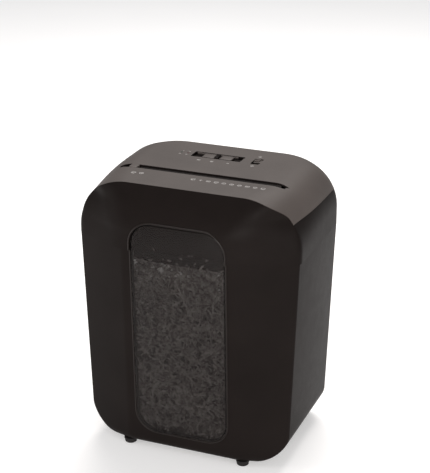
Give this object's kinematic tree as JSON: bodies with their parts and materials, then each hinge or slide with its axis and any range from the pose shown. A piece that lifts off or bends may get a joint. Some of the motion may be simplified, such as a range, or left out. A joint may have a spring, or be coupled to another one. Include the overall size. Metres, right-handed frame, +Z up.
{
  "type": "paper shredder",
  "caption": "Upright paper shredder: lift-off cutting head with arched front on an eight-sided black waste bin with a smoked window.",
  "frame": {"origin": "centre of the bounding box's footprint, on the floor under the feet", "axes": "+X to the machine's right as seen from the front, +Y to its back, +Z up"},
  "size_m": [0.359, 0.252, 0.444],
  "materials": {
    "black_plastic": "fine-grained satin moulded plastic",
    "charcoal_plastic": "fine-grained satin moulded plastic",
    "smoked_window": "smoked translucent, polished",
    "foot_rubber": "matt moulded rubber",
    "inner_plastic": "matt glass-filled plastic",
    "zinc_steel": "zinc plated sheet",
    "screw_steel": "plated screw",
    "bronze": "sintered bronze",
    "nylon": "natural nylon",
    "circuit_board": "green solder mask",
    "switch_plastic": "moulded switch body",
    "lamp_green": "clear tinted light pipe",
    "lamp_red": "clear tinted light pipe",
    "cutter_steel": "oiled hardened steel",
    "gear_steel": "sintered steel",
    "pinion_brass": "cut brass",
    "control_plastic": "satin moulded plastic",
    "plunger_plastic": "red acetal"
  },
  "bodies": {
    "bin": {"bin_tub": "black_plastic", "bin_window": "smoked_window", "foot_front_left": "foot_rubber", "foot_front_right": "foot_rubber", "foot_rear_left": "foot_rubber", "foot_rear_right": "foot_rubber"},
    "head": {"top_cover": "charcoal_plastic", "front_shell": "black_plastic", "rear_shell": "black_plastic", "lower_housing": "black_plastic", "throat_guide_front": "inner_plastic", "throat_guide_rear": "inner_plastic", "side_plate_left": "zinc_steel", "side_plate_right": "zinc_steel", "tie_rods": "zinc_steel", "cutter_bushes": "bronze", "stripper_comb_front": "inner_plastic", "stripper_comb_rear": "inner_plastic", "gear_cover_plate": "zinc_steel", "second_gear_axle": "zinc_steel", "first_gear_axle": "zinc_steel", "motor_can": "zinc_steel", "motor_end_cap": "nylon", "control_board": "circuit_board", "selector_switch": "switch_plastic", "lock_switch": "switch_plastic", "sensor_switch": "switch_plastic", "sensor_pin": "zinc_steel", "interlock_switch": "switch_plastic", "power_lamp": "lamp_green", "overheat_lamp": "lamp_red", "cord_gland": "foot_rubber", "housing_screws": "screw_steel", "frame_screws": "screw_steel", "motor_screws": "screw_steel", "board_screws": "screw_steel"},
    "rear_cutter": {"cutter_rear": "cutter_steel", "cutter_rear_gear": "gear_steel", "drive_gear": "nylon"},
    "front_cutter": {"cutter_front": "cutter_steel", "cutter_front_gear": "gear_steel"},
    "second_gear": {"second_gear": "nylon"},
    "first_gear": {"first_gear": "nylon"},
    "motor_rotor": {"motor_rotor": "cutter_steel", "motor_pinion": "pinion_brass", "motor_fan": "inner_plastic"},
    "selector": {"selector_slider": "control_plastic"},
    "safety_lock": {"lock_slider": "control_plastic"},
    "paper_sensor": {"sensor_lever": "nylon"},
    "head_plunger": {"interlock_plunger": "plunger_plastic"}
  },
  "joints": [
    {"name": "head_lift", "type": "slide", "parent": "bin", "child": "head", "axis": [0, 0, 1], "range_m": [0, 0.0988]},
    {"name": "rear_cutter_spin", "type": "hinge", "parent": "head", "child": "rear_cutter", "pos_m": [0.011, -0.004, 0.368], "axis": [1, 0, 0], "continuous": true},
    {"name": "front_cutter_spin", "type": "hinge", "parent": "head", "child": "front_cutter", "pos_m": [0.011, -0.038, 0.368], "axis": [1, 0, 0], "continuous": true},
    {"name": "second_gear_spin", "type": "hinge", "parent": "head", "child": "second_gear", "pos_m": [-0.132, 0.03293, 0.37451], "axis": [1, 0, 0], "continuous": true},
    {"name": "first_gear_spin", "type": "hinge", "parent": "head", "child": "first_gear", "pos_m": [-0.14, 0.06182, 0.37704], "axis": [1, 0, 0], "continuous": true},
    {"name": "motor_spin", "type": "hinge", "parent": "head", "child": "motor_rotor", "pos_m": [-0.08, 0.0802, 0.39247], "axis": [1, 0, 0], "continuous": true},
    {"name": "selector_slide", "type": "slide", "parent": "head", "child": "selector", "axis": [1, 0, 0], "range_m": [-0.014, 0.014]},
    {"name": "safety_lock_slide", "type": "slide", "parent": "head", "child": "safety_lock", "axis": [0, -1, 0], "range_m": [0, 0.01]},
    {"name": "paper_sensor_swing", "type": "hinge", "parent": "head", "child": "paper_sensor", "pos_m": [0.011, -0.007, 0.414], "axis": [1, 0, 0], "range_deg": [0, 25], "stiffness_Nm_per_rad": 0.002, "springref_deg": -11.46},
    {"name": "head_plunger_press", "type": "slide", "parent": "head", "child": "head_plunger", "axis": [0, 0, 1], "range_m": [0, 0.003], "stiffness_N_per_m": 150, "springref_m": -0.003}
  ],
  "couplings": [
    {"joint": "front_cutter_spin", "follows": "rear_cutter_spin", "ratio": -1},
    {"joint": "second_gear_spin", "follows": "rear_cutter_spin", "ratio": -2.5714},
    {"joint": "first_gear_spin", "follows": "rear_cutter_spin", "ratio": 8.0816},
    {"joint": "motor_spin", "follows": "rear_cutter_spin", "ratio": -32.327}
  ]
}
